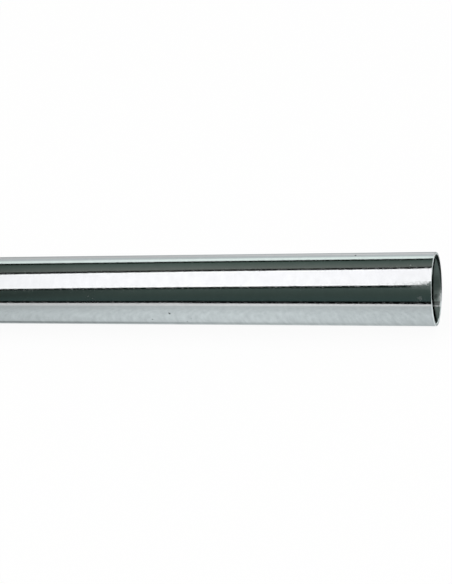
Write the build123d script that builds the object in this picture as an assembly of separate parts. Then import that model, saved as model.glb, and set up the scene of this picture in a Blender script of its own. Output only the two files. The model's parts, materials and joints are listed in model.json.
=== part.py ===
from build123d import *
import math
import os

# Stainless steel tube: one stock length of thin, round, longitudinally welded tube.
# It lies along X on the plane Z = 0, and the origin is on that plane, below the middle of its length.
# Sizes are in millimetres and angles in degrees.

# Driving dimensions
OUTER_DIAMETER = 25.0
WALL = 1.0
LENGTH = 1000.0

# Deburring takes a small 45 degree bevel off both rims of each square sawn end.
OUTER_BEVEL = 0.15
INNER_BEVEL = 0.20

# Outside, the weld is ground flush and polished away. Inside, its low rounded bead runs the whole length.
SEAM_WIDTH = 2.2
SEAM_HEIGHT = 0.18
SEAM_DIRECTION = -70.0  # seen from the +X end, counted from +Y towards +Z: -90 is straight down

# What follows from them
OUTER_RADIUS = OUTER_DIAMETER / 2
BORE_RADIUS = OUTER_RADIUS - WALL
AXIS_HEIGHT = OUTER_RADIUS


def polar(radius, direction):
    """A point of the section, by its distance and direction from the tube's axis."""
    angle = math.radians(direction)
    return (radius * math.cos(angle), radius * math.sin(angle))


def wall_section():
    """The tube's plain wall: a ring."""
    return Circle(OUTER_RADIUS) - Circle(BORE_RADIUS)


def seam_section():
    """The weld bead: a low arch that stands on the bore, with its root halfway into the wall."""
    half_angle = math.degrees(math.asin(SEAM_WIDTH / 2 / BORE_RADIUS))
    first, last = SEAM_DIRECTION - half_angle, SEAM_DIRECTION + half_angle
    root_radius = BORE_RADIUS + WALL / 2
    foot_a, foot_b = polar(BORE_RADIUS, first), polar(BORE_RADIUS, last)
    root_a, root_b = polar(root_radius, first), polar(root_radius, last)
    crown = polar(BORE_RADIUS - SEAM_HEIGHT, SEAM_DIRECTION)
    arch = ThreePointArc(foot_a, crown, foot_b)
    root = ThreePointArc(root_b, polar(root_radius, SEAM_DIRECTION), root_a)
    sides = [Line(foot_b, root_b), Line(root_a, foot_a)]
    return make_face([arch, root, *sides])


def drawn_tube():
    """The section, bead included, carried along X to the stock length, about the origin."""
    section = Plane.YZ * (wall_section() + seam_section())
    return extrude(section, LENGTH / 2, both=True)


def bevel_outside(tube):
    """Both outer rims, bevelled."""
    end_faces = tube.faces().sort_by(Axis.X)
    rims = end_faces[0].outer_wire().edges() + end_faces[-1].outer_wire().edges()
    return chamfer(rims, OUTER_BEVEL)


def countersink():
    """The cone that deburring cuts into the mouth at +X. It runs through the bead and stops in the air."""
    stands_out = WALL
    reach_in = INNER_BEVEL + 2 * SEAM_HEIGHT
    wide = BORE_RADIUS + INNER_BEVEL + stands_out
    narrow = BORE_RADIUS + INNER_BEVEL - reach_in
    cone = Cone(narrow, wide, reach_in + stands_out, align=(Align.CENTER, Align.CENTER, Align.MIN))
    return Plane(origin=(LENGTH / 2 - reach_in, 0, 0), z_dir=(1, 0, 0)) * cone


def stainless_tube():
    """The finished tube, laid on the floor."""
    mouth = countersink()
    tube = bevel_outside(drawn_tube()) - mouth - mirror(mouth, Plane.YZ)
    return Pos(0, 0, AXIS_HEIGHT) * tube


PARTS = {"tube": stainless_tube()}

os.makedirs("parts", exist_ok=True)
for name, shape in PARTS.items():
    export_step(shape, f"parts/{name}.step")
    size = shape.bounding_box().size
    print(name, "volume", round(shape.volume), "size", [round(v, 2) for v in (size.X, size.Y, size.Z)])
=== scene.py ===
# %% [markdown]
# A length of stainless steel tube
#
# The object is one piece of stock: a thin strip of stainless steel, rolled round, welded along its
# seam, ground and polished outside, and sawn square. In the photograph it lies on white and shows one
# open end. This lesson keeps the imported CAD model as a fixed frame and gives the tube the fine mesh,
# the finishes and the studio that let it look like polished steel.

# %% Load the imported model
import json

import bpy
import numpy as np
from mathutils import Matrix, Vector


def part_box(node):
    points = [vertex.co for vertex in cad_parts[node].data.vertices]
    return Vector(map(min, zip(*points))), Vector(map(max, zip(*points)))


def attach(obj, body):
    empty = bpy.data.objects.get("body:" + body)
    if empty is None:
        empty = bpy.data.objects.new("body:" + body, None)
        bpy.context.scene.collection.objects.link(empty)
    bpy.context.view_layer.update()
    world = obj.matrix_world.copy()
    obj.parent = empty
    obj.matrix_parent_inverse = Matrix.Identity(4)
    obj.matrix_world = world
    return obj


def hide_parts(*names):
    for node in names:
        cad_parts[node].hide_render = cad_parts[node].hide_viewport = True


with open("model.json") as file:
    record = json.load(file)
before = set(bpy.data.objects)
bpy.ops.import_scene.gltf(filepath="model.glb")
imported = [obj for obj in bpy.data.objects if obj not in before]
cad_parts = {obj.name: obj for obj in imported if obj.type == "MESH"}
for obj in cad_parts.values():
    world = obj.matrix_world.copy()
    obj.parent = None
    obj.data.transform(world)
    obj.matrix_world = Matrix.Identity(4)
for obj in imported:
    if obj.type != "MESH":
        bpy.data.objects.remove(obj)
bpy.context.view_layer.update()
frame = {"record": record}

# %% [markdown]
# Sizes come from the frame
#
# The tube's length is that of its node, and the record's mounts hold the two radii. A mount also says
# how long its straight wall is, and what is missing at each end is the bevel that deburring took off.
# The weld bead inside is too small to be a mount, so its three sizes are written here.

# %% Read the tube's sizes
MM = 0.001


def mount(name):
    """The record's mount of that name."""
    return next(entry for entry in frame["record"]["mounts"] if entry["name"] == name)


low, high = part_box("tube")
HALF_LENGTH = (high.x - low.x) / 2
OUTER_RADIUS = mount("outside_plus_x")["dims"]["r_mm"] * MM
BORE_RADIUS = mount("bore_plus_x")["dims"]["r_mm"] * MM
OUTER_BEVEL = HALF_LENGTH - mount("outside_plus_x")["dims"]["length_mm"] * MM / 2
INNER_BEVEL = HALF_LENGTH - mount("bore_plus_x")["dims"]["length_mm"] * MM / 2
AXIS_HEIGHT = OUTER_RADIUS

BEAD_WIDTH = 2.2 * MM
BEAD_HEIGHT = 0.18 * MM
BEAD_DIRECTION = np.radians(-70)

print("length", round(2 * HALF_LENGTH / MM, 2), "mm, diameter", round(2 * OUTER_RADIUS / MM, 2), "mm")
print("bevels", round(OUTER_BEVEL / MM, 2), "and", round(INNER_BEVEL / MM, 2), "mm")

# %% [markdown]
# The tube's surface
#
# A tube could be a cylinder with a hole cut through it, but a mirror finish shows every facet and
# every pinched normal. It is easier to work out the whole skin at once. One closed profile runs along
# the outside, over the rim, back through the bore and over the other rim, and it is carried round the
# axis. Two parameters, one along the profile and one around the axis, give every point, so the skin
# closes on itself in both directions and has no seam and no pole.

# %% Directions around the axis
BEAD_STEPS = 24
ROUND_STEPS = 264

bead_half_angle = np.arcsin(BEAD_WIDTH / 2 / BORE_RADIUS)
across_bead = np.linspace(-bead_half_angle, bead_half_angle, BEAD_STEPS, endpoint=False)
round_the_rest = np.linspace(bead_half_angle, 2 * np.pi - bead_half_angle, ROUND_STEPS, endpoint=False)
from_bead = np.concatenate([across_bead, round_the_rest])
on_bead = np.arange(from_bead.size) < BEAD_STEPS
print(from_bead.size, "directions around the axis,", BEAD_STEPS, "of them across the weld bead")

# %% [markdown]
# The weld bead
#
# The outside of the weld is ground flush, and inside it stays as a low ridge along the whole bore. A
# separate strip would leave a crack beside it, so here the bore's own wall rises into the ridge: the
# profile's radius is smaller in the directions that cross it.

# %% The weld bead's height in each direction


def bead_height(angle):
    """How far the bead stands into the bore, in each direction counted from the bead's crown.

    The bead's top is an arc of a circle through its two feet and its crown. A line from the axis meets
    that circle at the centre's distance times the cosine of the line's angle, less the root of a
    difference: the circle's radius squared, minus the square of the centre's distance times the
    angle's sine. The height is the bore's radius less that.
    """
    crown = BORE_RADIUS - BEAD_HEIGHT
    rise = BORE_RADIUS * np.cos(bead_half_angle) - crown
    circle = ((BEAD_WIDTH / 2) ** 2 + rise**2) / (2 * rise)
    centre = crown + circle
    inside = np.clip(circle**2 - (centre * np.sin(angle)) ** 2, 0, None)
    return np.where(on_bead, BORE_RADIUS - centre * np.cos(angle) + np.sqrt(inside), 0)


bead = np.clip(bead_height(from_bead), 0, None)
print("bead stands", round(bead.max() / MM, 3), "mm into the bore")

# %% [markdown]
# The profile
#
# A deburred rim has an outside bevel, a flat sawn ring and an inside bevel. No real corner is sharp, and
# the light that runs along it is what makes a cut end look like metal, so each corner is a small curve.
# A few rings of points close behind the rim keep the shading of the long straight wall true.

# %% The profile, with softened corners
# The corners in turn: outside bevel's foot, the sawn ring's outer and inner edge, inside bevel's foot.
CORNER_REACH = np.array([0.06, 0.015, 0.02, 0.01]) * MM
CORNER_STEPS = 5
SUPPORTS = np.array([0.3, 1.5, 6.0]) * MM
WALL_RING_SPACING = 25 * MM


def soften(corners, reach, steps):
    """Rounds each corner of an open line of corners, and leaves its two ends out.

    From each corner a start and an end are set back by its reach along both sides. Between them runs the
    sum of start, corner and end, weighted by (1-s) squared, twice s times (1-s), and s squared, while s
    goes from 0 to 1. That is a parabola, and it leaves both sides smoothly.
    """
    reach = reach[:, None, None]
    before = corners[:-2] - corners[1:-1]
    after = corners[2:] - corners[1:-1]
    start = corners[1:-1] + reach * before / np.linalg.norm(before, axis=-1, keepdims=True)
    end = corners[1:-1] + reach * after / np.linalg.norm(after, axis=-1, keepdims=True)
    s = np.linspace(0, 1, steps)[None, :, None, None]
    start, middle, end = (part[:, None] for part in (start, corners[1:-1], end))
    return ((1 - s) ** 2 * start + 2 * s * (1 - s) * middle + s**2 * end).reshape(-1, *corners.shape[1:])


def rim_profile(bead):
    """The rim at +X, from the outside wall to the bore, as (row, direction, [x, radius]).

    The inside bevel is one cone in every direction, so where the bead stands into the bore, the cone
    reaches that much further in.
    """
    flat = np.zeros_like(bead)
    ring_out, ring_in = OUTER_RADIUS - OUTER_BEVEL, BORE_RADIUS + INNER_BEVEL
    points = [
        (flat + HALF_LENGTH - OUTER_BEVEL - SUPPORTS[0], flat + OUTER_RADIUS),
        (flat + HALF_LENGTH - OUTER_BEVEL, flat + OUTER_RADIUS),
        (flat + HALF_LENGTH, flat + ring_out),
        (flat + HALF_LENGTH, flat + ring_in),
        (HALF_LENGTH - INNER_BEVEL - bead, BORE_RADIUS - bead),
        (HALF_LENGTH - INNER_BEVEL - bead - SUPPORTS[0], BORE_RADIUS - bead),
    ]
    corners = np.array(points).transpose(0, 2, 1)
    return soften(corners, CORNER_REACH, CORNER_STEPS)


def wall_rows(radius):
    """Rings along a straight wall, from +X to -X, as (row, direction, [x, radius]): close together
    beside the rims, and evenly spaced between."""
    reach = HALF_LENGTH - INNER_BEVEL - BEAD_HEIGHT
    between = np.arange(-reach + 2 * SUPPORTS[-1], reach - 2 * SUPPORTS[-1], WALL_RING_SPACING)
    along = np.concatenate([reach - SUPPORTS, between[::-1], SUPPORTS[::-1] - reach])
    x, r = np.broadcast_arrays(along[:, None], radius[None, :])
    return np.stack([x, r], axis=-1)


rim = rim_profile(bead)
far_rim = rim[::-1] * [-1, 1]
outside = wall_rows(np.full_like(bead, OUTER_RADIUS))
bore = wall_rows(BORE_RADIUS - bead)
profile = np.concatenate([outside[::-1], rim, bore, far_rim])
print(profile.shape[0], "points along the profile")

# %% [markdown]
# From two parameters to a mesh
#
# Each point of the profile becomes a ring: x stays, and the radius turns into y and z. Faces join each
# ring to the next, and the last ring to the first. A face's finish follows from where it lies on the
# profile, because each stretch of the skin was made by another tool: polishing belt, saw, rolls or weld.

# %% Build the mesh
FINISHES = ["outside", "rim", "bore", "bead"]


def revolve(profile):
    """Carries the profile round the axis: y is the radius times the cosine of the direction, and z is the
    axis's height plus the radius times its sine."""
    direction = BEAD_DIRECTION + from_bead
    y = profile[..., 1] * np.cos(direction)
    z = AXIS_HEIGHT + profile[..., 1] * np.sin(direction)
    return np.stack([profile[..., 0], y, z], axis=-1)


def joined_rings(rows, columns):
    """The four corners of every face of a grid that closes on itself both ways."""
    row, column = np.meshgrid(np.arange(rows), np.arange(columns), indexing="ij")
    next_row, next_column = (row + 1) % rows, (column + 1) % columns
    corners = [(row, column), (next_row, column), (next_row, next_column), (row, next_column)]
    return np.stack([r * columns + c for r, c in corners], axis=-1).reshape(-1, 4)


def mesh_from(name, points, faces):
    """A smooth shaded mesh object from arrays of points and faces, at the origin."""
    mesh = bpy.data.meshes.new(name)
    mesh.from_pydata(points.reshape(-1, 3), [], faces)
    mesh.polygons.foreach_set("use_smooth", np.ones(len(faces), bool))
    mesh.update()
    piece = bpy.data.objects.new(name, mesh)
    bpy.context.scene.collection.objects.link(piece)
    return piece


rows, columns = profile.shape[:2]
tube = mesh_from("polished_tube", revolve(profile), joined_rings(rows, columns))

stretch = np.full(rows, FINISHES.index("rim"))
stretch[: outside.shape[0]] = FINISHES.index("outside")
stretch[-1] = FINISHES.index("outside")
first_bore_row = outside.shape[0] + rim.shape[0] - 1
stretch[first_bore_row : first_bore_row + bore.shape[0] + 1] = FINISHES.index("bore")
finish = np.repeat(stretch[:, None], columns, axis=1)
finish[(finish == FINISHES.index("bore")) & on_bead[None, :]] = FINISHES.index("bead")
tube.data.polygons.foreach_set("material_index", finish.reshape(-1).astype(np.int32))
print("tube:", len(tube.data.polygons), "faces")

# %% [markdown]
# Tools for the finishes
#
# Colours are picked as they look on a screen, so one function turns such a hex value into the linear
# numbers that light is worked out in. The others add a node with its settings and links, and put the
# colours into a ramp.

# %% Colours and nodes


def linear(hex_colour):
    """An sRGB hex colour as four linear numbers."""
    value = np.array([int(hex_colour[i : i + 2], 16) for i in (1, 3, 5)]) / 255
    value = np.where(value <= 0.04045, value / 12.92, ((value + 0.055) / 1.055) ** 2.4)
    return (*value.tolist(), 1.0)


def wire(node, inputs=(), **settings):
    """Sets up a node. Each of the inputs is (input, node, output) for a link, or (input, value). A
    setting names an input too, with underscores for its spaces, or else a property of the node."""
    for name, value in settings.items():
        spaced = name.replace("_", " ")
        if spaced in node.inputs:
            node.inputs[spaced].default_value = value
        else:
            setattr(node, name, value)
    for socket, source, *output in inputs:
        if output:
            node.id_data.links.new(source.outputs[output[0]], node.inputs[socket])
        else:
            node.inputs[socket].default_value = source
    return node


def add(tree, kind, inputs=(), **settings):
    """Adds a node of a kind, set up as above."""
    return wire(tree.nodes.new(kind), inputs, **settings)


def set_stops(ramp, stops):
    """Gives a colour ramp its stops, which are (position, hex colour), from low to high."""
    line = ramp.color_ramp
    line.elements[0].position, line.elements[-1].position = stops[0][0], stops[-1][0]
    line.elements[0].color, line.elements[-1].color = linear(stops[0][1]), linear(stops[-1][1])
    for position, colour in stops[1:-1]:
        line.elements.new(position).color = linear(colour)


def material(name):
    """A new material with its node tree and its Principled shader."""
    made = bpy.data.materials.new(name)
    made.use_nodes = True
    return made, made.node_tree, made.node_tree.nodes["Principled BSDF"]


def repeats(*lengths):
    """How often a pattern repeats in a metre, for its real lengths along X, Y and Z."""
    return tuple(1 / length for length in lengths)


print("a middle grey on the screen is", round(linear("#808080")[0], 3), "of the light of white")

# %% [markdown]
# Marks on the wall
#
# Polished steel shows each speck of dust and each touch. The photograph has a few, and each is kept at
# its place. A mark is a soft spot, worked out from the distance to its middle.

# %% Places of the marks
# Each mark is (mm from the cut end, degrees round the tube, mm long, mm round the tube). The degrees
# count from level on the camera's side, up and over.
DARK_SPECKS = [
    (92.4, 0.7, 0.6, 0.9),
    (99.8, -14.6, 0.4, 0.4),
    (87.1, -21.7, 0.5, 0.4),
    (26.7, 109.4, 0.6, 0.8),
]
SMUDGES = [
    (122.3, 32.3, 1.3, 0.7),
    (120.7, 28.6, 0.7, 0.7),
    (7.2, 81.8, 0.8, 0.8),
    (3.9, 28.7, 2.9, 1.7),
]
MARK_GRAIN = 0.5 * MM
MARK_FALL = (0.4, 1.4)


def spots(tree, place, marks, radius=OUTER_RADIUS):
    """One where a mark is, and zero elsewhere, as the highest of all the marks' soft spots.

    Each is the distance from the mark's middle, counted in half lengths of the mark along X and round
    the tube, turned into a number that falls from one at the fall's start to zero at its end. A noise
    shifts the distance by up to half of that fall, so that no mark has a clean outline.
    """
    grain = add(tree, "ShaderNodeTexNoise", [("Vector", place, "Object")],
                Scale=1 / MARK_GRAIN, Detail=2.0)
    ragged = add(tree, "ShaderNodeMapRange", [("Value", grain, "Fac")],
                 From_Min=0.3, From_Max=0.7, To_Min=-0.5, To_Max=0.5)
    highest = None
    for from_end, direction, length, height in marks:
        angle = np.radians(direction)
        middle = (HALF_LENGTH - from_end * MM,
                  -radius * np.cos(angle),
                  AXIS_HEIGHT + radius * np.sin(angle))
        scale = repeats(length * MM / 2, height * MM / 2, height * MM / 2)
        shifted = tuple(-a * b for a, b in zip(middle, scale))
        off = add(tree, "ShaderNodeMapping", [("Vector", place, "Object")], Location=shifted, Scale=scale)
        away = add(tree, "ShaderNodeVectorMath", [(0, off, "Vector")], operation="LENGTH")
        blurred = add(tree, "ShaderNodeMath", [(0, away, "Value"), (1, ragged, 0)], operation="ADD")
        spot = add(tree, "ShaderNodeMapRange", [("Value", blurred, 0)],
                   From_Min=MARK_FALL[0], From_Max=MARK_FALL[1], To_Min=1.0, To_Max=0.0)
        if highest is not None:
            spot = add(tree, "ShaderNodeMath", [(0, highest, 0), (1, spot, 0)], operation="MAXIMUM")
        highest = spot
    return highest


print(len(DARK_SPECKS), "dark specks and", len(SMUDGES), "smudges have their places")

# %% [markdown]
# Outside: stainless steel, belt ground and polished
#
# The wall is polished until it mirrors the room, so most of what the eye sees on it is the studio. The
# steel adds its own slightly cool grey and what the belt and the buffing wheel left: faint lines that
# run round the tube, a faint cloudiness, and a wall that is true to a few thousandths of a millimetre
# but not flat, so that a mirrored edge wavers a little.

# %% Polished stainless steel
LINE_SPACING = 0.8 * MM  # real polishing lines are ten times finer, and would not show in the picture
LINE_LENGTH = 4.5 * MM
CLOUD_SIZE, CLOUD_SHARE = 3 * MM, 0.75
GRAIN_SIZE, GRAIN_SHARE = 0.5 * MM, 0.85
POLISHED_ROUGHNESS, SMUDGED_ROUGHNESS = (0.03, 0.16), 0.31
WAVE_LENGTH, WAVE_HEIGHT = 9 * MM, 0.012 * MM
RIPPLE_LENGTH, RIPPLE_SHARE = 2.2 * MM, 0.3
DUST_CELL, DUST_CORE, DUST_RADIUS = 8 * MM, 0.12 * MM, 0.2 * MM
DUST_COLOUR, DUST_SHARE = "#404240", 0.4
EDGE_TINT = "#DFDFDF"


def polished_steel():
    """Belt-ground and buffed stainless steel: a sharp mirror, with faint lines, clouds and dust."""
    made, tree, shader = material("stainless_steel_belt_ground_and_polished")
    place = add(tree, "ShaderNodeTexCoord")

    lines_at = add(tree, "ShaderNodeMapping", [("Vector", place, "Object")],
                   Scale=repeats(LINE_SPACING, LINE_LENGTH, LINE_LENGTH))
    lines = add(tree, "ShaderNodeTexNoise", [("Vector", lines_at, "Vector")], Scale=1.0, Detail=2.0)
    clouds = add(tree, "ShaderNodeTexNoise", [("Vector", place, "Object")],
                 Scale=1 / CLOUD_SIZE, Detail=3.0)
    shade = add(tree, "ShaderNodeMix", [(2, lines, "Fac"), (3, clouds, "Fac")], Factor=CLOUD_SHARE)
    steel = add(tree, "ShaderNodeValToRGB", [("Fac", shade, 0)])
    set_stops(steel, [(0.3, "#CFD1D2"), (0.7, "#D5D7D8")])

    dust = add(tree, "ShaderNodeTexVoronoi", [("Vector", place, "Object")], Scale=1 / DUST_CELL)
    dusty = add(tree, "ShaderNodeMapRange", [("Value", dust, "Distance")], To_Min=DUST_SHARE, To_Max=0.0,
                From_Min=DUST_CORE / DUST_CELL, From_Max=DUST_RADIUS / DUST_CELL)
    specks = spots(tree, place, DARK_SPECKS)
    dark = add(tree, "ShaderNodeMath", [(0, dusty, 0), (1, specks, 0)], operation="MAXIMUM")
    colour = add(tree, "ShaderNodeMixRGB", [("Fac", dark, 0), ("Color1", steel, "Color")],
                 Color2=linear(DUST_COLOUR))

    grain = add(tree, "ShaderNodeTexNoise", [("Vector", place, "Object")],
                Scale=1 / GRAIN_SIZE, Detail=1.0)
    scratched = add(tree, "ShaderNodeMix", [(2, lines, "Fac"), (3, grain, "Fac")], Factor=GRAIN_SHARE)
    haze = add(tree, "ShaderNodeMapRange", [("Value", scratched, 0)], From_Min=0.4, From_Max=0.66,
               To_Min=POLISHED_ROUGHNESS[0], To_Max=POLISHED_ROUGHNESS[1])
    touched = spots(tree, place, SMUDGES)
    smudge = add(tree, "ShaderNodeMath", [(0, touched, 0), (1, SMUDGED_ROUGHNESS)], operation="MULTIPLY")
    roughness = add(tree, "ShaderNodeMath", [(0, haze, 0), (1, smudge, 0)], operation="MAXIMUM")

    waves = add(tree, "ShaderNodeTexNoise", [("Vector", place, "Object")],
                Scale=1 / WAVE_LENGTH, Detail=1.0)
    ripples = add(tree, "ShaderNodeTexNoise", [("Vector", place, "Object")],
                  Scale=1 / RIPPLE_LENGTH, Detail=1.0)
    height = add(tree, "ShaderNodeMix", [(2, waves, "Fac"), (3, ripples, "Fac")], Factor=RIPPLE_SHARE)
    surface = add(tree, "ShaderNodeBump", [("Height", height, 0)],
                  Distance=WAVE_HEIGHT / (1 - RIPPLE_SHARE))

    wire(shader, [("Base Color", colour, "Color"), ("Roughness", roughness, 0),
                  ("Normal", surface, "Normal")], Metallic=1.0, Specular_Tint=linear(EDGE_TINT))
    return made


polished = polished_steel()
print(polished.name, "has", len(polished.node_tree.nodes), "nodes")

# %% [markdown]
# Rims: sawn square and deburred
#
# A cold saw leaves straight, fine scratches across the end, and the deburring wheel breaks both edges.
# So the rims are brighter than the wall but satin, and they catch light from many directions at once.

# %% Sawn steel
SAW_LINE_SPACING = 0.2 * MM
SAW_LINE_LENGTH = 6 * MM
SAW_LINE_DEPTH = 0.004 * MM
SAWN_ROUGHNESS = (0.14, 0.24)


def sawn_steel():
    """Sawn and deburred stainless steel: bright, with a satin look."""
    made, tree, shader = material("stainless_steel_sawn_and_deburred")
    place = add(tree, "ShaderNodeTexCoord")
    lines_at = add(tree, "ShaderNodeMapping", [("Vector", place, "Object")],
                   Scale=repeats(SAW_LINE_LENGTH, SAW_LINE_LENGTH, SAW_LINE_SPACING))
    lines = add(tree, "ShaderNodeTexNoise", [("Vector", lines_at, "Vector")], Scale=1.0, Detail=2.0)
    colour = add(tree, "ShaderNodeValToRGB", [("Fac", lines, "Fac")])
    set_stops(colour, [(0.3, "#D9DCDB"), (0.7, "#F3F6F5")])
    roughness = add(tree, "ShaderNodeMapRange", [("Value", lines, "Fac")], From_Min=0.3, From_Max=0.7,
                    To_Min=SAWN_ROUGHNESS[0], To_Max=SAWN_ROUGHNESS[1])
    surface = add(tree, "ShaderNodeBump", [("Height", lines, "Fac")], Distance=SAW_LINE_DEPTH)
    wire(shader, [("Base Color", colour, "Color"), ("Roughness", roughness, 0),
                  ("Normal", surface, "Normal")], Metallic=1.0)
    return made


sawn = sawn_steel()
print(sawn.name, "has", len(sawn.node_tree.nodes), "nodes")

# %% [markdown]
# Bore: strip as the mill left it
#
# Nobody polishes the inside of a tube. The wall keeps the slightly green grey of cold rolled strip, with
# streaks along its length from the rolls. The first millimetres look different. The deburring brush ran
# over the wall there as it broke the edge and made it lighter and rougher. The brush leaned, so what it
# reached ends on a slanted plane. Behind that plane the colour is a painted shade, a dark green grey for
# the darkness inside the mouth, and a spot beside the weld bead and a thin edge of the lip get it too.
# Near-white spots at the lip and along the bead's flank are painted highlights. From 5 to 12 mm in, the
# painted shade fades to the strip's own grey.

# %% Which parts of the bore the brush reached, and where shade is painted
# The plane where the brushing ends, and the painted shade behind it begins, cuts the axis 0.5 mm outside
# the tube and reaches 3.35 mm further in on one side. Another such plane cuts a thin edge of painted shade
# off the lip, which the brush did not touch.
BRUSH_REACH, BRUSH_FADE = -0.5 * MM, 0.2 * MM
BRUSH_LEAN, LIP_LEAN = 3.35 * MM, 1.0 * MM
BRUSH_DIRECTION, LIP_DIRECTION = np.radians(-38), np.radians(47)
# A spot of painted shade beside the weld bead, taken halfway to the painted shade's colour.
PAINTED_SHADE_SPOT, PAINTED_SHADE_SPOT_SHARE = [(2.2, 236.5, 1.8, 2.1)], 0.5
# Painted highlights: a near-white spot at the lip and a thin line along the bead's flank.
PAINTED_HIGHLIGHT_SPOTS = [(-0.2, 236, 1.9, 4.4), (1.1, 253.4, 3.0, 0.45)]
# From 5 to 12 mm in from the end, the painted shade fades to the strip's own grey.
PAINTED_SHADE_END = (5 * MM, 12 * MM)


def past_plane(tree, place, from_middle, lean, direction, reach, before, after):
    """Goes from one number to another where the bore crosses a slanted plane near either end.

    A point's distance from the tube's middle is raised in proportion to how far the point lies in the
    direction of the lean. The sum is the same all over the plane, and grows past it.
    """
    towards = lean / BORE_RADIUS * np.array([0, np.cos(direction), np.sin(direction)])
    leaning = add(tree, "ShaderNodeVectorMath", [(0, place, "Object"), (1, towards)],
                  operation="DOT_PRODUCT")
    reached = add(tree, "ShaderNodeMath", [(0, from_middle, 0), (1, leaning, "Value")], operation="ADD")
    border = HALF_LENGTH - reach + towards[2] * AXIS_HEIGHT
    return add(tree, "ShaderNodeMapRange", [("Value", reached, 0)], To_Min=before, To_Max=after,
               From_Min=border - BRUSH_FADE, From_Max=border + BRUSH_FADE)


def unbrushed_and_painted_shade(tree, place, from_middle):
    """One where the brush didn't touch the bore and its colour is painted shade, and zero where it did."""
    behind = past_plane(tree, place, from_middle, BRUSH_LEAN, BRUSH_DIRECTION, BRUSH_REACH, 1.0, 0.0)
    # A thin edge of painted shade along part of the lip.
    lip = past_plane(tree, place, from_middle, LIP_LEAN, LIP_DIRECTION, 0, 0.0, 1.0)
    spot = spots(tree, place, PAINTED_SHADE_SPOT, BORE_RADIUS)
    shade_spot_share = add(tree, "ShaderNodeMapRange", [("Value", spot, 0)], To_Max=PAINTED_SHADE_SPOT_SHARE)
    inside = add(tree, "ShaderNodeMath", [(0, behind, 0), (1, shade_spot_share, 0)], operation="MAXIMUM")
    return add(tree, "ShaderNodeMath", [(0, inside, 0), (1, lip, 0)], operation="MAXIMUM")


print("the brush reached up to", round((BRUSH_REACH + BRUSH_LEAN) / MM, 2), "mm into the bore")

# %% Mill finish, brushed near the mouth, with painted shade and painted highlights
STREAK_LENGTH, STREAK_WIDTH = 14 * MM, 0.5 * MM
CLEAN_COLOUR = "#B2B8B5"
# The colour of the painted highlights, and how metallic the wall stays under them.
PAINTED_HIGHLIGHT_COLOUR, PAINTED_HIGHLIGHT_METALLIC = "#F2F5F4", 0.2


def in_the_bore(tree, shader, brushed_colours, painted_shade_colours, length, width, roughness):
    """Streaks for the inside: brushed at the mouth, painted shade behind that, and clean further in, with
    painted highlights on top. The roughness is (brushed, not brushed)."""
    place = add(tree, "ShaderNodeTexCoord")
    along = add(tree, "ShaderNodeSeparateXYZ", [("Vector", place, "Object")])
    from_middle = add(tree, "ShaderNodeMath", [(0, along, "X")], operation="ABSOLUTE")
    unbrushed_shaded_share = unbrushed_and_painted_shade(tree, place, from_middle)
    streaks_at = add(tree, "ShaderNodeMapping", [("Vector", place, "Object")],
                     Scale=repeats(length, width, width))
    streaks = add(tree, "ShaderNodeTexNoise", [("Vector", streaks_at, "Vector")], Scale=1.0, Detail=3.0)
    brushed = add(tree, "ShaderNodeValToRGB", [("Fac", streaks, "Fac")])
    set_stops(brushed, [(0.3, brushed_colours[0]), (0.7, brushed_colours[1])])
    # Painted shade: a dark green grey that stands for the darkness just inside the mouth.
    painted_shade = add(tree, "ShaderNodeValToRGB", [("Fac", streaks, "Fac")])
    set_stops(painted_shade, [(0.3, painted_shade_colours[0]), (0.7, painted_shade_colours[1])])

    # Further in, the painted shade fades to the strip's own clean grey.
    clean_share = add(tree, "ShaderNodeMapRange", [("Value", from_middle, 0)], To_Min=1.0, To_Max=0.0,
                      From_Min=HALF_LENGTH - PAINTED_SHADE_END[1], From_Max=HALF_LENGTH - PAINTED_SHADE_END[0])
    shaded_then_clean = add(tree, "ShaderNodeMixRGB", [("Fac", clean_share, 0), ("Color1", painted_shade, "Color")],
               Color2=linear(CLEAN_COLOUR))
    wall = add(tree, "ShaderNodeMixRGB", [("Fac", unbrushed_shaded_share, 0), ("Color1", brushed, "Color"),
                                          ("Color2", shaded_then_clean, "Color")])
    # Painted highlights: near-white spots, with the metal turned mostly off under them.
    painted_highlight = spots(tree, place, PAINTED_HIGHLIGHT_SPOTS, BORE_RADIUS)
    colour = add(tree, "ShaderNodeMixRGB", [("Fac", painted_highlight, 0), ("Color1", wall, "Color")],
                 Color2=linear(PAINTED_HIGHLIGHT_COLOUR))
    smooth = add(tree, "ShaderNodeMapRange", [("Value", unbrushed_shaded_share, 0)],
                 To_Min=roughness[0], To_Max=roughness[1])
    bare = add(tree, "ShaderNodeMapRange", [("Value", painted_highlight, 0)], To_Min=1.0, To_Max=PAINTED_HIGHLIGHT_METALLIC)
    wire(shader, [("Base Color", colour, "Color"), ("Roughness", smooth, 0), ("Metallic", bare, 0)])


def mill_finish_steel():
    """Cold rolled strip as it left the mill: streaked, and greyer than the polished side."""
    made, tree, shader = material("stainless_steel_mill_finish")
    # The second pair of colours is the painted shade just inside the mouth.
    in_the_bore(tree, shader, ["#B4C4BE", "#C3D3CD"], ["#3C4643", "#4A5451"],
                STREAK_LENGTH, STREAK_WIDTH, (0.5, 0.25))
    return made


mill_finish = mill_finish_steel()
print(mill_finish.name, "has", len(mill_finish.node_tree.nodes), "nodes")

# %% [markdown]
# Bead: weld metal
#
# The bead froze in ripples behind the torch, square to its length. They are drawn as shallow waves,
# longer than the real ones. A gas kept the air off the bead, so it has no heat colour. Near the mouth it
# is brushed as the strip is, with the same painted shade behind and a painted highlight along its flank.

# %% Weld bead
BEAD_STREAK_LENGTH, BEAD_STREAK_WIDTH = 3 * MM, 1 * MM
RIPPLE_HEIGHT = 0.01 * MM
RIPPLE_SPACING = 5.03 * MM  # real ripples are under a millimetre apart, too fine to show in the picture
WAVE_PERIOD = 2 * np.pi / 20  # the length in metres of one wave of a wave texture whose scale is 1


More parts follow.
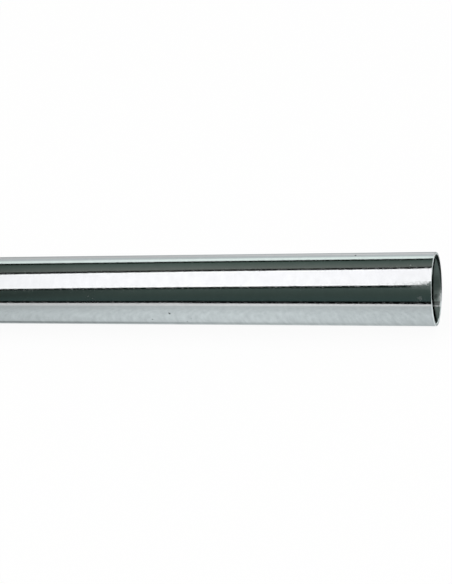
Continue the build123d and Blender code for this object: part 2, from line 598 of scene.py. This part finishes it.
def weld_bead_steel():
    """Weld metal that froze in a protecting gas: smooth and rippled, with no heat colour."""
    made, tree, shader = material("stainless_steel_weld_bead")
    # The second pair of colours is painted shade, as in the bore.
    in_the_bore(tree, shader, ["#A2AAA6", "#B0B8B4"], ["#3F4542", "#4D5350"],
                BEAD_STREAK_LENGTH, BEAD_STREAK_WIDTH, (0.5, 0.3))
    place = add(tree, "ShaderNodeTexCoord")
    ripples = add(tree, "ShaderNodeTexWave", [("Vector", place, "Object")], bands_direction="X",
                  Scale=WAVE_PERIOD / RIPPLE_SPACING, Distortion=1.5)
    surface = add(tree, "ShaderNodeBump", [("Height", ripples, "Fac")], Distance=RIPPLE_HEIGHT)
    wire(shader, [("Normal", surface, "Normal")])
    return made


weld_bead = weld_bead_steel()
print(weld_bead.name, "has", len(weld_bead.node_tree.nodes), "nodes")

# %% [markdown]
# The tube takes its place
#
# The four finishes go on in the order in which the faces were numbered. The tube then rides on the
# frame's only body, and the plain CAD node is hidden.

# %% Finishes and body
for made in (polished, sawn, mill_finish, weld_bead):
    tube.data.materials.append(made)
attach(tube, "root")
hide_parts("tube")
print("finishes:", [made.name for made in tube.data.materials])

# %% [markdown]
# The camera
#
# The two long edges of the tube draw together towards the left, and the mouth is a narrow ellipse. From
# these follow how far the tube is turned, how steeply the camera looks down on it, and its distance.

# %% Place the camera
PICTURE_WIDTH, PICTURE_HEIGHT = 452, 584
SENSOR_LONG_SIDE = 36
FOCAL_LENGTH = 75
FOCAL_PIXELS = FOCAL_LENGTH * PICTURE_HEIGHT / SENSOR_LONG_SIDE
MOUTH_PIXEL = Vector((436.85, 289.02))
MOUTH_DISTANCE = 408.8 * MM
TURN = np.radians(17.9)
LOOK_DOWN = np.radians(43)
ROLL = np.radians(0.12)

back = Vector((np.sin(TURN), -np.cos(TURN) * np.cos(LOOK_DOWN), np.cos(TURN) * np.sin(LOOK_DOWN)))
level_right = Vector((np.cos(TURN), np.sin(TURN) * np.cos(LOOK_DOWN), -np.sin(TURN) * np.sin(LOOK_DOWN)))
level_up = Vector((0, np.sin(LOOK_DOWN), np.cos(LOOK_DOWN)))
right = level_right * np.cos(ROLL) - level_up * np.sin(ROLL)
up = level_up * np.cos(ROLL) + level_right * np.sin(ROLL)

mouth = Vector((HALF_LENGTH, 0, AXIS_HEIGHT))
aside = (MOUTH_PIXEL.x - PICTURE_WIDTH / 2) / FOCAL_PIXELS
above = (PICTURE_HEIGHT / 2 - MOUTH_PIXEL.y) / FOCAL_PIXELS
eye = mouth + MOUTH_DISTANCE * (back - aside * right - above * up)

lens = bpy.data.cameras.new("camera")
lens.sensor_width = SENSOR_LONG_SIDE
lens.lens = FOCAL_LENGTH
lens.clip_start = 10 * MM
camera = bpy.data.objects.new("camera", lens)
camera.matrix_world = Matrix.Translation(eye) @ Matrix((right, up, back)).transposed().to_4x4()
bpy.context.scene.collection.objects.link(camera)
bpy.context.scene.camera = camera

to_mouth = mouth - eye
half_width = PICTURE_WIDTH / 2 / FOCAL_PIXELS
visible_length = (to_mouth @ right - half_width * (to_mouth @ back)) / (right.x - half_width * back.x)
print("camera at", tuple(round(value, 3) for value in eye))
print("the picture shows", round(visible_length / MM), "mm of the tube")

# %% [markdown]
# The studio
#
# Polished steel has hardly a look of its own, so a photographer builds a room for it to mirror. Here a
# softbox hangs over the tube between two dark flags, and behind the rear one is a strip of light. Each is
# a curved panel round the tube's axis that only mirrored rays see. The panels' edges are placed by the
# mirror's law: the wall shows an edge where the ray from the camera, turned back by the wall, meets it.

# %% From a place on the wall to a panel's edge
PANEL_DISTANCE = 1.0
PANEL_HALF_LENGTH = 1.6
STEPS_TO_CORNER, CORNER_EDGE_STEPS, STEPS_PAST_CORNER = 160, 32, 64

# The softbox's right-hand corner is rounded: its edges turn up between these distances from the end.
CORNER_START, CORNER_END = 6.2 * MM, 0.1 * MM

eye_distance = np.hypot(eye.y, eye.z - AXIS_HEIGHT)


def lands(from_end, distance):
    """The x at which a ray from the camera ends that the wall mirrors so far from the tube's end.

    It leaves the wall as steeply along X as it came, so it moves by the same share of its distance.
    """
    lean = (eye.x - HALF_LENGTH + from_end) / (eye_distance - OUTER_RADIUS)
    return HALF_LENGTH - from_end - (distance - OUTER_RADIUS) * lean


def above_floor(angle, distance):
    """The distance, or where the floor is nearer in that direction, the distance to the floor."""
    fall = np.clip(-np.sin(angle), AXIS_HEIGHT / distance, None)
    return AXIS_HEIGHT / fall


def edge(directions, distance=PANEL_DISTANCE, turn_up=0):
    """One long edge of a panel, as (x, angle, distance) arrays.

    Between the places where the mirrored rays land, the angle changes evenly with x. At the rounded
    corner it grows by turn_up more, slowly at first, as the square of the way there. An edge that would
    be below the floor stands on it instead, nearer to the tube.
    """
    directions = np.radians(directions)
    from_end = np.linspace(0, visible_length, len(directions))
    corner = lands(CORNER_START, distance), lands(CORNER_END, distance)
    x = np.concatenate([
        np.linspace(-PANEL_HALF_LENGTH, corner[0], STEPS_TO_CORNER, endpoint=False),
        np.linspace(corner[0], corner[1], CORNER_EDGE_STEPS, endpoint=False),
        np.linspace(corner[1], PANEL_HALF_LENGTH, STEPS_PAST_CORNER),
    ])
    places = lands(from_end, above_floor(directions, distance))
    turned = np.clip((x - corner[0]) / (corner[1] - corner[0]), 0, 1)
    angle = np.interp(x, places[::-1], directions[::-1]) + turned**2 * np.radians(turn_up)
    return x, angle, above_floor(angle, distance)


mirrored_length = (lands(0, PANEL_DISTANCE) - lands(visible_length, PANEL_DISTANCE)) / MM
print("the part of the tube in the picture mirrors", round(mirrored_length), "mm of each panel")

# %% [markdown]
# What a panel is made of
#
# A panel is a sheet of points with two numbers at each: how far across the panel it lies, which a ramp
# turns into its colour, and how bright it is there. A real softbox is darker towards its ends, and the
# steel shows that as bands that grow dimmer along the tube.

# %% A glowing sheet and a panel
ACROSS_STEPS = 49


def stand(name, points, across, level, stops):
    """Makes a glowing sheet from a grid of points. Its colour follows the stops, which are (share of the
    way across, hex colour), and level is how bright it is. Only mirrored rays see it."""
    rows, columns = points.shape[:2]
    grid = np.arange(rows * columns).reshape(rows, columns)
    faces = np.stack([grid[:-1, :-1], grid[:-1, 1:], grid[1:, 1:], grid[1:, :-1]], axis=-1).reshape(-1, 4)
    made = mesh_from(name, points, faces)
    for title, values in (("across", across), ("level", level)):
        share = made.data.attributes.new(title, "FLOAT", "POINT")
        values = np.broadcast_to(values, (rows, columns)).reshape(-1).astype(np.float32)
        share.data.foreach_set("value", values)

    cloth, tree, shader = material(name)
    tree.nodes.remove(shader)
    where = add(tree, "ShaderNodeAttribute", attribute_name="across")
    ramp = add(tree, "ShaderNodeValToRGB", [("Fac", where, "Fac")])
    set_stops(ramp, stops)
    brightness = add(tree, "ShaderNodeAttribute", attribute_name="level")
    glow = add(tree, "ShaderNodeEmission", [("Color", ramp, "Color"), ("Strength", brightness, "Fac")])
    wire(tree.nodes["Material Output"], [("Surface", glow, "Emission")])
    made.data.materials.append(cloth)

    made.visible_camera = False
    made.visible_diffuse = False
    made.visible_shadow = False
    made.visible_volume_scatter = False
    print(name, "has", len(faces), "faces")


def panel(name, low_edge, high_edge, levels, stops):
    """A curved panel between two edges. Angle and distance change evenly across it, and the levels are
    its brightness at evenly spaced places along it, in the same order as an edge's directions."""
    across = np.linspace(0, 1, ACROSS_STEPS)[:, None]
    x, angle, distance = (a + across * (b - a) for a, b in zip(low_edge, high_edge))
    points = np.stack([x, -distance * np.cos(angle), AXIS_HEIGHT + distance * np.sin(angle)], axis=-1)
    places = lands(np.linspace(0, visible_length, len(levels)), distance.mean())
    stand(name, points, across, np.interp(x, places[::-1], levels[::-1]), stops)


print("each curved panel has", ACROSS_STEPS, "rows of points across it")

# %% Softbox, flags and strip light
# Directions from the tube, in degrees from level on the camera's side, up and over, and levels. Each row
# is for light that the wall mirrors at evenly spaced places, from the mouth to the picture's left edge.
FLAG_FOOT = [-3.75, -2.75, -0.1, -1.5, -1.6]
SOFTBOX_FRONT = [55.6, 53.6, 52.1, 49.8, 47.1]
SOFTBOX_REAR = [107.1, 105.3, 103.4, 100.3, 97.0]
REAR_FLAG_FOOT = [151.6, 150.6, 149.4, 147.7, 146.7]
STRIP_LIGHT_HEIGHT = 15
FLAG_LEVELS = [1.0, 0.95, 0.95, 0.94, 0.62]
REAR_FLAG_LEVELS = [0.95, 1.03, 1.08, 1.04, 0.7]
LIGHT_LEVELS = np.array([0.94, 0.99, 1.0, 0.97, 0.9])
SOFTBOX_STRENGTH, STRIP_LIGHT_STRENGTH = 1.72, 1.35

# How many degrees each edge turns up at the softbox's rounded corner.
FRONT_TURN_UP, REAR_TURN_UP, FOOT_TURN_UP, STRIP_TURN_UP = 11, 3, 1, -2

softbox_front = edge(SOFTBOX_FRONT, turn_up=FRONT_TURN_UP)
softbox_rear = edge(SOFTBOX_REAR, turn_up=REAR_TURN_UP)
rear_foot = edge(REAR_FLAG_FOOT, turn_up=FOOT_TURN_UP)
strip_foot = edge(np.add(REAR_FLAG_FOOT, STRIP_LIGHT_HEIGHT), turn_up=STRIP_TURN_UP)

panel("front_flag", edge(FLAG_FOOT), edge(SOFTBOX_FRONT), FLAG_LEVELS,
      [(0.0, "#040605"), (0.12, "#040605"), (0.16, "#3E4F4D"), (0.5, "#43514C"), (0.85, "#4D5C57"),
       (0.885, "#03140E"), (1.0, "#03140E")])
panel("softbox", softbox_front, softbox_rear, SOFTBOX_STRENGTH * LIGHT_LEVELS,
      [(0.0, "#FFFFFF"), (0.04, "#FFFFFF"), (0.1, "#F0EFF0"), (0.9, "#F0EEF0"), (0.96, "#FFFFFF"),
       (1.0, "#FFFFFF")])
panel("rear_flag", softbox_rear, rear_foot, REAR_FLAG_LEVELS,
      [(0.0, "#080908"), (0.14, "#080908"), (0.18, "#757B76"), (0.5, "#636F69"), (0.8, "#506059"),
       (0.85, "#03100A"), (1.0, "#03100A")])
panel("strip_light", rear_foot, strip_foot, STRIP_LIGHT_STRENGTH * LIGHT_LEVELS,
      [(0.0, "#DCE8E4"), (0.5, "#F3FFFB"), (1.0, "#DCE8E4")])

# %% [markdown]
# The softbox's rounded corner
#
# Beside the mouth the edge between the white band and the dark one curls up into a grey wedge. It looks
# like the softbox's frame at a rounded corner, so a small grey panel hangs in front of that corner.

# %% The softbox's corner
CORNER_DISTANCE = 0.7
CORNER_DEPTH = 14
CORNER_FOOT_TURN_UP, CORNER_TOP_TURN_UP = -4, 11.3

corner_foot = edge(np.subtract(SOFTBOX_FRONT, CORNER_DEPTH), CORNER_DISTANCE, CORNER_FOOT_TURN_UP)
corner_top = edge(SOFTBOX_FRONT, CORNER_DISTANCE, CORNER_TOP_TURN_UP)
in_corner = corner_top[0] > lands(CORNER_START, CORNER_DISTANCE)
corner_foot, corner_top = (tuple(part[in_corner] for part in line) for line in (corner_foot, corner_top))
panel("softbox_corner", corner_foot, corner_top, [1.0, 1.0],
      [(0.0, "#4C5954"), (0.2, "#5E6864"), (0.62, "#6C7572"), (0.8, "#8B9290"), (1.0, "#8F9592")])

# %% [markdown]
# A flag beyond the mouth
#
# The flat ring of the cut end mirrors what is beyond the end of the tube. A dark flag stands there, from
# just above the paper and rising away from the tube, and its outline decides which part of the ring is
# dark.

# %% A flag at the mouth
END_FLAG_PLACES = np.array([0.3, 3.0, 3.8, 6.0, 15.3, 200]) * MM
END_FLAG_FRONT = np.array([7, 7, 6, 3, -5, -5]) * MM
END_FLAG_REAR = np.array([90, 90, 20, 20, 90, 90]) * MM
END_FLAG_GAP, END_FLAG_RISE = 0.1 * MM, 0.2
END_FLAG_COLOUR = "#151E1A"
END_FLAG_STEPS = 41, 9

evenly = np.linspace(END_FLAG_PLACES[0], END_FLAG_PLACES[-1], END_FLAG_STEPS[0])
beyond = np.unique(np.concatenate([END_FLAG_PLACES, evenly]))
along, across = np.meshgrid(beyond, np.linspace(0, 1, END_FLAG_STEPS[1]), indexing="ij")
front, rear = (np.interp(along, END_FLAG_PLACES, side) for side in (END_FLAG_FRONT, END_FLAG_REAR))
height = END_FLAG_GAP + along * END_FLAG_RISE
flag = np.stack([HALF_LENGTH + along, front + across * (rear - front), height], axis=-1)
stand("end_flag", flag, across, 1.0, [(0.0, END_FLAG_COLOUR), (1.0, END_FLAG_COLOUR)])

# %% [markdown]
# Floor and background
#
# White paper lies under the tube and rises out of focus behind it. To the camera it is all but pure
# white, with a trace of the tube's shadow. The steel shows more of it. There is a bright band close to
# the tube, where the polished wall throws the softbox's light back onto the paper, a darker one beyond,
# and the shade of the tube itself, which light from the open ends thins out. So the paper has one look
# for the camera and another for mirrored rays, and for all other light it is plain paper.

# %% Bands and shade on the paper
# Bands on both sides of the tube, as (distance from under the axis, colour).
BAND_REACH = 200 * MM
BANDS = [(12 * MM, "#E8F0F1"), (24 * MM, "#E7EFF0"), (50 * MM, "#D9E0E1"),
         (72 * MM, "#D8DEDE"), (92 * MM, "#E2E8E8"), (108 * MM, "#FFFFFF")]

# The tube's shade on both sides, which fades from this far inside the ends to nothing at the ends.
SHADE_COLOUR = "#979F9F"
SHADE_MIDDLE, SHADE_HALF_WIDTH = 9.8 * MM, 2.2 * MM
SHADE_START = 150 * MM


def away_from(tree, place, axis, middle):
    """How far a point lies from a place on one axis, on either side of it."""
    off = add(tree, "ShaderNodeMath", [(0, place, axis), (1, middle)], operation="SUBTRACT")
    return add(tree, "ShaderNodeMath", [(0, off, 0)], operation="ABSOLUTE")


def banded_paper(tree, where):
    """The paper's colour as the steel mirrors it: bands along the tube, and the tube's shade on them."""
    from_axis = add(tree, "ShaderNodeMath", [(0, where, "Y")], operation="ABSOLUTE")
    band = add(tree, "ShaderNodeMapRange", [("Value", from_axis, 0)], From_Max=BAND_REACH)
    banded = add(tree, "ShaderNodeValToRGB", [("Fac", band, 0)])
    set_stops(banded, [(distance / BAND_REACH, colour) for distance, colour in BANDS])
    from_middle = add(tree, "ShaderNodeMath", [(0, where, "X")], operation="ABSOLUTE")
    far_in = add(tree, "ShaderNodeMapRange", [("Value", from_middle, 0)], To_Min=1.0, To_Max=0.0,
                 From_Min=HALF_LENGTH - SHADE_START, From_Max=HALF_LENGTH)
    off_shade = away_from(tree, from_axis, 0, SHADE_MIDDLE)
    shade = add(tree, "ShaderNodeMapRange", [("Value", off_shade, 0), ("To Min", far_in, 0)],
                From_Max=SHADE_HALF_WIDTH, To_Max=0.0)
    return add(tree, "ShaderNodeMixRGB", [("Fac", shade, 0), ("Color1", banded, "Color")],
               Color2=linear(SHADE_COLOUR))


print("beyond", round(BANDS[-1][0] / MM), "mm from the tube the mirrored paper has one colour")

# %% How bright the mirrored paper is
# The paper's tooth, drawn coarser than it is so that it shows, and stretched the way the rays fall on it.
PAPER_TOOTH, TOOTH_TURN = (1.5 * MM, 12 * MM, 12 * MM), np.radians(-12)
TOOTH_LEVELS = (0.91, 1.09)

# Brightest so far from the end, dimmer on both sides of that, and brighter in the open past the end.
BRIGHTEST_PLACE, DIM_PLACE, DIM_LEVEL = 75 * MM, 210 * MM, 0.8
OPEN_DISTANCE, OPEN_LEVEL = 3 * MM, 1.22

# A painted shadow: the dark line where the tube comes down to the paper, on the camera's side.
CONTACT_PLACE, CONTACT_REACH, CONTACT_LEVEL = -4 * MM, (1 * MM, 3 * MM), 0.5


def paper_level(tree, place, where):
    """How bright the mirrored paper is: its tooth, times how it dims along the tube, times how it
    brightens past the end, times the painted shadow line beside the tube's foot."""
    tooth_at = add(tree, "ShaderNodeMapping", [("Vector", place, "Object")], vector_type="TEXTURE",
                   Rotation=(0, 0, TOOTH_TURN), Scale=PAPER_TOOTH)
    tooth = add(tree, "ShaderNodeTexNoise", [("Vector", tooth_at, "Vector")], Scale=1.0, Detail=2.0)
    level = add(tree, "ShaderNodeMapRange", [("Value", tooth, "Fac")], From_Min=0.3, From_Max=0.7,
                To_Min=TOOTH_LEVELS[0], To_Max=TOOTH_LEVELS[1])
    off_brightest = away_from(tree, where, "X", HALF_LENGTH - BRIGHTEST_PLACE)
    dimming = add(tree, "ShaderNodeMapRange", [("Value", off_brightest, 0)], To_Min=1.0, To_Max=DIM_LEVEL,
                  From_Max=DIM_PLACE - BRIGHTEST_PLACE, interpolation_type="SMOOTHSTEP")
    beside = add(tree, "ShaderNodeMapRange", [("Value", where, "X")], To_Min=1.0, To_Max=OPEN_LEVEL,
                 From_Min=HALF_LENGTH, From_Max=HALF_LENGTH + OPEN_DISTANCE)
    off_contact = away_from(tree, where, "Y", CONTACT_PLACE)
    contact = add(tree, "ShaderNodeMapRange", [("Value", off_contact, 0)],
                  From_Min=CONTACT_REACH[0], From_Max=CONTACT_REACH[1], To_Min=CONTACT_LEVEL, To_Max=1.0)
    for factor in (dimming, beside, contact):
        level = add(tree, "ShaderNodeMath", [(0, level, 0), (1, factor, 0)], operation="MULTIPLY")
    return level


print("the mirrored paper is brightest", round(BRIGHTEST_PLACE / MM), "mm from the tube's end")

# %% Lay the floor
FLOOR_REACH = 30.0
PAPER_COLOUR = "#F2F2F0"
WHITE = (1, 1, 1, 1)
CAMERA_LEVEL = 0.94  # the share of plain white in what the camera sees, and the rest is lit paper


def white_to(tree, camera_level):
    """A number that is camera_level for what the camera sees, one for what metal or glass shows, and
    zero for all other light. Also the node that tells the kinds of light apart."""
    path = add(tree, "ShaderNodeLightPath")
    mirrored = add(tree, "ShaderNodeMath", [(0, path, "Is Glossy Ray"), (1, path, "Is Transmission Ray")],
                   operation="MAXIMUM")
    seen = add(tree, "ShaderNodeMath", [(0, path, "Is Camera Ray"), (1, camera_level)],
               operation="MULTIPLY")
    return add(tree, "ShaderNodeMath", [(0, seen, 0), (1, mirrored, 0)], operation="MAXIMUM"), path


corners = np.array([[-1, -1, 0], [1, -1, 0], [1, 1, 0], [-1, 1, 0]], float) * FLOOR_REACH
floor = mesh_from("floor", corners, np.array([[0, 1, 2, 3]]))
paper, tree, shader = material("matt_white_paper")
wire(shader, Base_Color=linear(PAPER_COLOUR), Roughness=1.0, Specular_IOR_Level=0.0)

place = add(tree, "ShaderNodeTexCoord")
where = add(tree, "ShaderNodeSeparateXYZ", [("Vector", place, "Object")])
banded, brightness = banded_paper(tree, where), paper_level(tree, place, where)
lit = add(tree, "ShaderNodeVectorMath", [(0, banded, "Color"), ("Scale", brightness, 0)], operation="SCALE")
mirrored = add(tree, "ShaderNodeVectorMath", [(0, lit, 0), (1, WHITE[:3])], operation="MINIMUM")
level, path = white_to(tree, CAMERA_LEVEL)
colour = add(tree, "ShaderNodeMixRGB", [("Fac", path, "Is Camera Ray"), ("Color1", mirrored, 0)],
             Color2=WHITE)
glow = add(tree, "ShaderNodeEmission", [("Color", colour, "Color")])
mix = add(tree, "ShaderNodeMixShader", [("Fac", level, 0), (1, shader, "BSDF"), (2, glow, "Emission")])
wire(tree.nodes["Material Output"], [("Surface", mix, "Shader")])
floor.data.materials.append(paper)
print("floor material has", len(tree.nodes), "nodes")

# %% [markdown]
# World and lamp
#
# One large lamp overhead gives the tube its soft shadow, and the even light of the world fills it. To
# the camera the world is white, as the paper is, and the steel mirrors it as the pale grey of a
# studio's walls.

# %% World and lamp
AMBIENT = 0.6
WALLS_COLOUR = "#DDE4E5"
LAMP_SIZE, LAMP_PLACE, LAMP_ENERGY = (2.0, 0.9), (0.3, -0.1, 1.0), 8

world = bpy.data.worlds.new("studio")
bpy.context.scene.world = world
world.use_nodes = True
tree = world.node_tree
level, path = white_to(tree, 1.0)
colour = add(tree, "ShaderNodeMixRGB", [("Fac", path, "Is Glossy Ray")], Color1=WHITE,
             Color2=linear(WALLS_COLOUR))
strength = add(tree, "ShaderNodeMath", [(0, level, 0), (1, AMBIENT)], operation="MAXIMUM")
wire(tree.nodes["Background"], [("Color", colour, "Color"), ("Strength", strength, 0)])

lamp_data = bpy.data.lights.new("overhead_lamp", "AREA")
lamp_data.shape = "RECTANGLE"
lamp_data.size, lamp_data.size_y = LAMP_SIZE
lamp_data.energy = LAMP_ENERGY
lamp = bpy.data.objects.new("overhead_lamp", lamp_data)
lamp.location = LAMP_PLACE
lamp.visible_glossy = False
lamp.visible_camera = False
bpy.context.scene.collection.objects.link(lamp)
print("lamp", LAMP_PLACE[2], "m above the floor")

# %% [markdown]
# The last steps
#
# Colours are shown as they are, without a film look.

# %% View settings
bpy.context.scene.view_settings.view_transform = "Standard"
